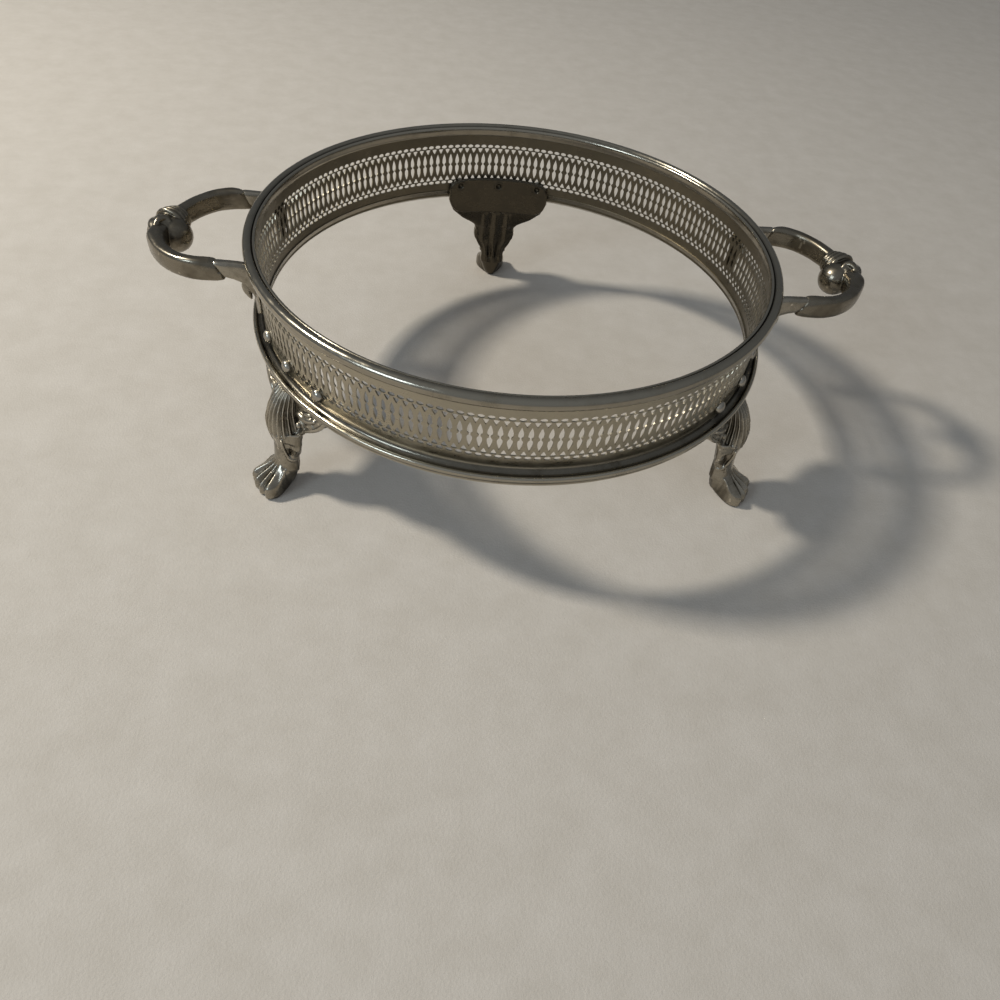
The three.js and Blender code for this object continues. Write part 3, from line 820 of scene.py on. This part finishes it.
BERRY = (9.7, 36.8)
BERRY_RADII = (1.3, 1.35, 1.35)
BORDER = [(9.4, 29.6), (10.0, 32.0), (11.4, 34.3), (14.4, 37.0), (18.3, 39.8), (21.4, 42.3), (24.1, 45.3),
          (25.2, 48.0)]
SCROLL = [(7.6, 34.6), (8.6, 33.4), (10.8, 33.3), (12.6, 34.8), (13.2, 37.0), (12.3, 39.0), (10.4, 39.9)]
BROAD_LEAF = [(8.4, 41.4), (10.4, 42.6), (13.2, 42.2), (15.6, 43.0), (17.9, 44.0), (20.2, 45.4)]
UPPER_LEAF = [(12.6, 44.4), (15.2, 45.4), (17.6, 46.4)]
LOWER_LEAF = [(14.0, 39.6), (16.4, 40.6), (18.8, 42.2)]
CUFF_FRONT = [(116.0, 7.0, 29.2), (115.8, 6.4, 26.0), (115.2, 5.9, 22.4), (114.4, 5.8, 19.2),
              (113.2, 6.2, 17.2)]
CUFF_BACK = [(110.6, 10.2, 29.4), (110.2, 9.9, 25.5), (110.0, 8.5, 21.8), (110.2, 6.8, 18.6),
             (110.8, 6.2, 16.4)]
CUFF_RIM = [(114.4, 5.8, 18.6), (113.3, 6.3, 17.0), (111.8, 6.6, 16.3), (110.4, 6.6, 16.6)]


def on_wing(side, z, lift):
    """Point on the wing's field, for the ornament that stands on it."""
    return Vector(on_ring(side, table(FIELD, z) + lift, z))


def wing_ornament(hand):
    """Berry in a scroll, leaves above it, and the raised border along the wing's lower edge."""
    parts = [ball(on_wing(hand * BERRY[0], BERRY[1], 0.5), BERRY_RADII, 12, 16)]
    for line, lift, thickness in ((BORDER, 0.1, taper(0.9, 0.0)),
                                  (SCROLL, 0.2, taper(0.75, -0.2)),
                                  (BROAD_LEAF, 0.35, swell(0.35, 1.15, 0.08, 0.94)),
                                  (UPPER_LEAF, 0.3, swell(0.2, 0.8)),
                                  (LOWER_LEAF, 0.1, swell(0.2, 0.6))):
        parts.append(tube(catmull([on_wing(hand * y, z, lift) for y, z in line], 7), thickness))
    return parts


def cuff(hand):
    """Hollow cuff on one side of the ankle, between two edges and above a broad lower rim."""
    parts = []
    for line, thick in ((CUFF_FRONT, 0.75), (CUFF_BACK, 0.95), (CUFF_RIM, 0.95)):
        points = catmull([Vector((x, hand * y, z)) for x, y, z in line], 7)
        parts.append(tube(points, swell(0.45 * thick, 0.55 * thick)))
    return parts


def foot_shape():
    """The casting that all three feet are made from."""
    return join([leg(), plate(), paw()] + wing_ornament(1) + wing_ornament(-1) + cuff(1) + cuff(-1))


# Rivets

SHANK_RADIUS = 1.3
HEAD_RADIUS = 2.75
HEAD_HEIGHT = 2.0
RIVET_SIDES = 28
DOME_STEPS = 10


def rivet(name, degrees):
    """Shank through the plate and the band, with a domed head on the outside."""
    tail = PLATE_INNER + 1.25
    wall = band_radius(RIVET_Z)
    profile = [(tail, 0.0), (tail, SHANK_RADIUS), (wall + 0.1, SHANK_RADIUS), (wall + 0.1, 2.5),
               (wall + 0.25, 2.7)]
    for k in range(DOME_STEPS + 1):
        a = math.pi / 2 * k / DOME_STEPS
        profile.append((wall + 0.4 + HEAD_HEIGHT * math.sin(a), HEAD_RADIUS * math.cos(a)))
    angles = [2 * math.pi * k / RIVET_SIDES for k in range(RIVET_SIDES)]
    rings = [[(x, r * math.cos(a), RIVET_Z + r * math.sin(a)) for a in angles] for x, r in profile]
    finish_piece(f"dome_{name}", skin(rings, closed_ends=False), name, RIVET_SILVER, sharp=40,
                 turn=math.radians(degrees))


# Handles, drawn on the +X side with the rear arm towards +Y; the left one is mirrored

# An arm's route is given in shares of the reach and the span, its height and thickness by the share of its
# length
REAR_ARM = [(0, 1), (0.18, 0.99), (0.34, 0.955), (0.5, 0.88), (0.68, 0.7), (0.8, 0.5), (0.9, 0.28)]
FRONT_ARM = [(0, 1), (0.2, 1.01), (0.38, 1), (0.55, 0.94), (0.7, 0.84), (0.84, 0.69), (0.94, 0.52), (1, 0.34),
             (0.985, 0.16)]
REAR_HEIGHT = [(0, 6.4), (0.04, 9.0), (0.1, 9.3), (0.5, 8.8), (1, 8.2)]
REAR_THICK = [(0, 2.8), (0.04, 4.2), (0.12, 4.8), (0.6, 4.7), (1, 5.4)]
FRONT_HEIGHT = [(0, 6.2), (0.03, 8.8), (0.08, 9.4), (0.4, 8.6), (0.65, 8.8), (0.85, 10.4), (1, 9.4)]
FRONT_THICK = [(0, 3.0), (0.03, 4.4), (0.1, 5.0), (0.45, 5.0), (0.7, 6.0), (0.88, 7.4), (1, 6.4)]
ARM_SINK = 0.9
ARM_SIDES = 28
END_HEIGHT = 9.4
END_SLANT = 3.2
END_FILED = 1.9

# Knop: a fluted bulb, the ball inside it, the collar of rings that the rear arm ends in, and a curled leaf
BULB_RADII = (6.4, 6.4, 6.2)
BULB_Y = -0.4
BULB_Z = HANDLE_Z - 1.2
LOBES = 9
LOBE_DEPTH = 0.07
BALL_CENTRE = (REACH - 4.0, 0.0, HANDLE_Z - 3.2)
BALL_RADIUS = 6.9
COLLAR_START = Vector((139.4, 10.2, 79.2))
COLLAR_AXIS = Vector((0.36, -0.93, -0.03)).normalized()
COLLAR_RINGS = [(0.0, 4.2, 0.75), (1.9, 4.9, 0.85), (4.0, 5.5, 0.95), (6.2, 5.9, 1.0)]
COLLAR_CORE = (-1.5, 1.5, 4.5, 7.5, 9.5)
CURL = [(144.6, -5.6, 83.2), (143.4, -3.0, 84.6), (141.2, -1.2, 84.4), (139.6, -2.2, 83.0)]


def arm_section(height, thick):
    """Bar with flat faces and worn, rounded edges, as (across, up) points."""
    points = []
    for k in range(ARM_SIDES):
        a = 2 * math.pi * (k + 0.5) / ARM_SIDES
        ca, sa = math.cos(a), math.sin(a)
        across = thick / 2 * math.copysign(abs(ca) ** 0.6, ca)
        points.append((across, height / 2 * math.copysign(abs(sa) ** 0.6, sa)))
    return points


def handle_arm(route, heights, thicks, hand):
    """Flat bar from its slanted end beside the band to the knop."""
    length = REACH - ARM_START
    line = catmull([Vector((ARM_START + along * length, hand * across * SPAN, HANDLE_Z - ARM_SINK * along))
                    for along, across in route], 9)
    rings = []
    for i, point in enumerate(line):
        u = i / (len(line) - 1)
        ahead = heading(line, i)
        side = ahead.cross(UP).normalized()
        ring = []
        for across, up in arm_section(table(heights, u), table(thicks, u)):
            # the end slants back towards its top, and the top is filed away on the outside
            slant = (0.5 + up / END_HEIGHT) * END_SLANT * (1 - smooth(0.0, 0.2, u))
            outside = 0.5 - hand * across / table(thicks, u)
            if up > 0:
                up -= END_FILED * outside * (1 - smooth(0.0, 0.3, u))
            ring.append(point + side * across + Vector((0, 0, up)) + ahead * slant)
        rings.append(ring)
    return skin(rings)


def ring_tube(centre, axis, radius, thick, steps=48, sides=12):
    """Moulded ring round an axis."""
    across = axis.cross(UP).normalized()
    upward = across.cross(axis)
    rings = []
    for k in range(steps):
        a = 2 * math.pi * k / steps
        outward = across * math.cos(a) + upward * math.sin(a)
        rings.append([centre + outward * (radius + thick * math.cos(b)) + axis * (thick * math.sin(b))
                      for b in (2 * math.pi * m / sides for m in range(sides))])
    rings.append(rings[0])
    return skin(rings, closed_ends=False)


def bulb(rows=30, columns=72):
    """Bulb along the ring with shallow lobes round it."""
    rings = []
    for i in range(rows + 1):
        p = math.pi * i / rows
        ring = []
        for j in range(columns):
            a = 2 * math.pi * j / columns
            lobe = 1 - LOBE_DEPTH * (0.5 - 0.5 * math.cos(LOBES * a)) * math.sin(p)
            ring.append((REACH + BULB_RADII[0] * lobe * math.sin(p) * math.cos(a),
                         BULB_Y - BULB_RADII[1] * math.cos(p),
                         BULB_Z + BULB_RADII[2] * lobe * math.sin(p) * math.sin(a)))
        rings.append(ring)
    return skin(rings, closed_ends=False)


def knop():
    """Bulb, ball, collar and curl. The collar's rings stand square to the rear arm and grow to the bulb."""
    parts = [bulb(), ball(BALL_CENTRE, (BALL_RADIUS, BALL_RADIUS, BALL_RADIUS), 22, 32)]
    for along, size, thick in COLLAR_RINGS:
        parts.append(ring_tube(COLLAR_START + COLLAR_AXIS * along, COLLAR_AXIS, size, thick))
    parts.append(tube([COLLAR_START + COLLAR_AXIS * along for along in COLLAR_CORE], taper(3.6, 2.2), 24))
    parts.append(tube(catmull([Vector(p) for p in CURL], 6), swell(0.5, 0.8, 0.15, 0.85)))
    return parts


def handle(side, mirror, turn):
    """Loop of two arms that meet in the knop."""
    rear = handle_arm(REAR_ARM, REAR_HEIGHT, REAR_THICK, 1)
    front = handle_arm(FRONT_ARM, FRONT_HEIGHT, FRONT_THICK, -1)
    finish_piece(f"loop_{side}", join([rear, front] + knop()), f"handle_{side}", HANDLE_SILVER,
                 turn=turn, mirror=mirror, fuse=0.3)


# Brackets

# The leaf's half width goes by the share of its height. Neck and web share one upright section, given by its
# distance from the band or from the arm's start, its upper and lower edge and its thickness
LEAF_TOP = 82.1
LEAF_LOW = 60.5
LEAF_HALF = [(0, 4.6), (0.3, 5.4), (0.5, 5.2), (0.62, 4.4), (0.72, 4.5), (0.85, 3.0), (0.95, 1.5), (1, 0.3)]
LEAF_SWELL = 1.35
LEAF_VEIN = 0.45
NECK_FROM_BAND = [(0.4, 82.3, 68.0, 5.0), (1.6, 82.4, 70.0, 4.4), (3.2, 82.7, 72.8, 4.0),
                  (5.2, 83.0, 74.6, 3.8), (7.6, 83.2, 75.8, 3.9)]
NECK_AT_ARM = [(-0.6, 83.3, 76.4, 4.0), (1.0, 83.1, 76.8, 3.6)]
NECK_LEAN = 3.4
SPUR = [(4.4, 74.0), (4.0, 71.4), (3.2, 69.0), (2.6, 66.8)]


def leaf(angle, rows=40, columns=32):
    """Leaf plate on the band, rounded on the outside and with a vein down its middle."""
    rings = []
    for i in range(rows + 1):
        u = i / rows
        z = LEAF_TOP + (LEAF_LOW - LEAF_TOP) * u
        half = table(LEAF_HALF, u)
        ring = []
        for k in range(columns):
            a = 2 * math.pi * k / columns
            across = half * math.cos(a)
            radius = band_radius(z) + 0.15
            if math.sin(a) > 0:
                radius += 0.1 + LEAF_SWELL * math.sin(a) ** 0.6 + LEAF_VEIN * math.exp(-(across / 0.7) ** 2)
            around = angle + across / 107.0
            ring.append((radius * math.cos(around), radius * math.sin(around), z))
        rings.append(ring)
    return skin(rings)


def neck(wall, y):
    """Neck and web from the band to the arm, leaning with the arm's slanted end."""
    sections = [(wall + x, *sizes) for x, *sizes in NECK_FROM_BAND]
    sections += [(ARM_START + x, *sizes) for x, *sizes in NECK_AT_ARM]
    rings = []
    for x, upper, lower, thick in sections:
        lean = NECK_LEAN * smooth(wall + 4.0, ARM_START, x)
        rings.append([(x + lean * max(0.5 + up / (upper - lower), 0.0), y + across, (upper + lower) / 2 + up)
                      for across, up in arm_section(upper - lower, thick)])
    return skin(rings)


def bracket(name, hand, mirror, turn):
    """Leaf plate on the band, its neck to the arm, the curved web below and the spur that hangs from it."""
    angle = math.asin(SPAN / (BAND_TOP_RADIUS + 0.3)) * hand
    wall = math.sqrt(BAND_TOP_RADIUS ** 2 - SPAN ** 2)
    y = hand * SPAN
    spur = tube(catmull([Vector((wall + x, y, z)) for x, z in SPUR], 6), swell(0.1, 1.5, 0.25, 0.97),
                flat=0.7, up=Vector((0, 1, 0)))
    finish_piece(f"leaf_{name}", join([leaf(angle), neck(wall, y), spur]), name, CAST_SILVER,
                 turn=turn, mirror=mirror, fuse=0.32)


gallery_band()
top_rim()
bottom_rim()
casting = foot_shape()
for where, degrees in FEET.items():
    finish_piece(f"paw_foot_{where}", casting, f"foot_{where}", CAST_SILVER,
                 turn=math.radians(degrees), fuse=0.3)
    for k in (-1, 0, 1):
        rivet(f"rivet_{where}_{k + 2}", degrees + RIVET_STEP * k)
for side, mirror, turn in (("right", 1, RIGHT_TURN), ("left", -1, 0.0)):
    handle(side, mirror, turn)
    bracket(f"bracket_{side}_back", 1, mirror, turn)
    bracket(f"bracket_{side}_front", -1, mirror, turn)


# Floor: pale felt

FELT_DARK = (0.595, 0.55, 0.495)
FELT_LIGHT = (0.65, 0.605, 0.553)
NAP_STRENGTH = 0.35
NAP_DEPTH = 0.0006
FLOOR_SIZE = 6
FLOOR_Z = -0.0001


def felt():
    """Mottled cloth with a fine nap."""
    material = bpy.data.materials.new("felt")
    material.use_nodes = True
    tree = material.node_tree
    shader = tree.nodes["Principled BSDF"]
    coords = node(tree, "ShaderNodeTexCoord").outputs["Object"]
    mottle = ramp(tree, noise(tree, coords, 55, 5, 0.7), 0.35, 0.68)
    tree.links.new(blend(tree, mottle, FELT_DARK, FELT_LIGHT), shader.inputs["Base Color"])
    shader.inputs["Roughness"].default_value = 0.95
    bump(tree, shader, noise(tree, coords, 900, 4, 0.7), NAP_STRENGTH, NAP_DEPTH)
    return material


bpy.ops.mesh.primitive_plane_add(size=FLOOR_SIZE, location=(0, 0, FLOOR_Z))
floor = bpy.context.object
floor.name = "table"
floor.data.materials.append(felt())


# Light: a warm lamp on the left, cool daylight from the front left, and a dim room

ROOM_COLOUR = (0.9, 0.95, 1.0, 1)
ROOM_STRENGTH = (0.13, 0.3)
VIEWER_SIDE = (-0.25, -0.8, 0.55)


def lamp(name, from_ring, aim_z, size, power, colour):
    """Rectangular light at a place in metres from the ring's axis, aimed at a height on it."""
    data = bpy.data.lights.new(name, "AREA")
    data.shape = "RECTANGLE"
    data.size, data.size_y = size
    data.energy = power
    data.color = colour
    made = bpy.data.objects.new(name, data)
    bpy.context.collection.objects.link(made)
    x, y, z = from_ring
    made.location = (RING_X + x, RING_Y + y, z)
    aim = Vector((RING_X, RING_Y, aim_z))
    made.rotation_euler = (aim - made.location).to_track_quat("-Z", "Y").to_euler()


def room():
    """Dim room that is brightest above the viewer."""
    world = bpy.data.worlds.new("room")
    bpy.context.scene.world = world
    world.use_nodes = True
    tree = world.node_tree
    background = tree.nodes["Background"]
    background.inputs["Color"].default_value = ROOM_COLOUR
    toward_viewer = node(tree, "ShaderNodeVectorMath", operation="DOT_PRODUCT")
    toward_viewer.inputs[1].default_value = VIEWER_SIDE
    tree.links.new(node(tree, "ShaderNodeTexCoord").outputs["Generated"], toward_viewer.inputs[0])
    strength = ramp(tree, toward_viewer.outputs["Value"], -0.6, 0.9, *ROOM_STRENGTH)
    tree.links.new(strength, background.inputs["Strength"])


lamp("lamp", from_ring=(-1.045, 0.184, 1.06), aim_z=0, size=(0.16, 0.16), power=15, colour=(1.0, 0.945, 0.83))
lamp("daylight", from_ring=(-1.5, -1.15, 1.0), aim_z=0.05, size=(0.7, 0.5), power=8, colour=(0.74, 0.88, 1.0))
room()
bpy.context.scene.view_settings.view_transform = "Standard"


# Camera, at the photograph's viewing angle

# The eye's height over the rim's plane and its distance from the axis are in rim radii, the focal length in
# widths of the picture, and the turns in radians
VIEW_TURN = math.radians(6.4)
EYE_UP = 1.3977
EYE_BACK = 2.658
FOCAL_LENGTH = 0.7482
SENSOR_WIDTH = 36
YAW = VIEW_TURN + 0.0213
TILT_DOWN = 0.8263
ROLL = 0.1221


def photograph_camera():
    """Camera at the photograph's viewpoint."""
    back = EYE_BACK * RIM_OUTER
    eye = Vector((RING_X - back * math.sin(VIEW_TURN) * MM,
                  RING_Y - back * math.cos(VIEW_TURN) * MM,
                  (RIM_PLANE + EYE_UP * RIM_OUTER) * MM))
    level = math.cos(TILT_DOWN)
    ahead = Vector((math.sin(YAW) * level, math.cos(YAW) * level, -math.sin(TILT_DOWN)))
    right = Vector((math.cos(YAW), -math.sin(YAW), 0))
    above = right.cross(ahead)
    across = math.cos(ROLL) * right + math.sin(ROLL) * above
    upright = math.cos(ROLL) * above - math.sin(ROLL) * right
    data = bpy.data.cameras.new("camera")
    data.lens = SENSOR_WIDTH * FOCAL_LENGTH
    data.sensor_width = SENSOR_WIDTH
    camera = bpy.data.objects.new("camera", data)
    bpy.context.collection.objects.link(camera)
    camera.matrix_world = Matrix.Translation(eye) @ Matrix((across, upright, -ahead)).transposed().to_4x4()
    bpy.context.scene.camera = camera


photograph_camera()
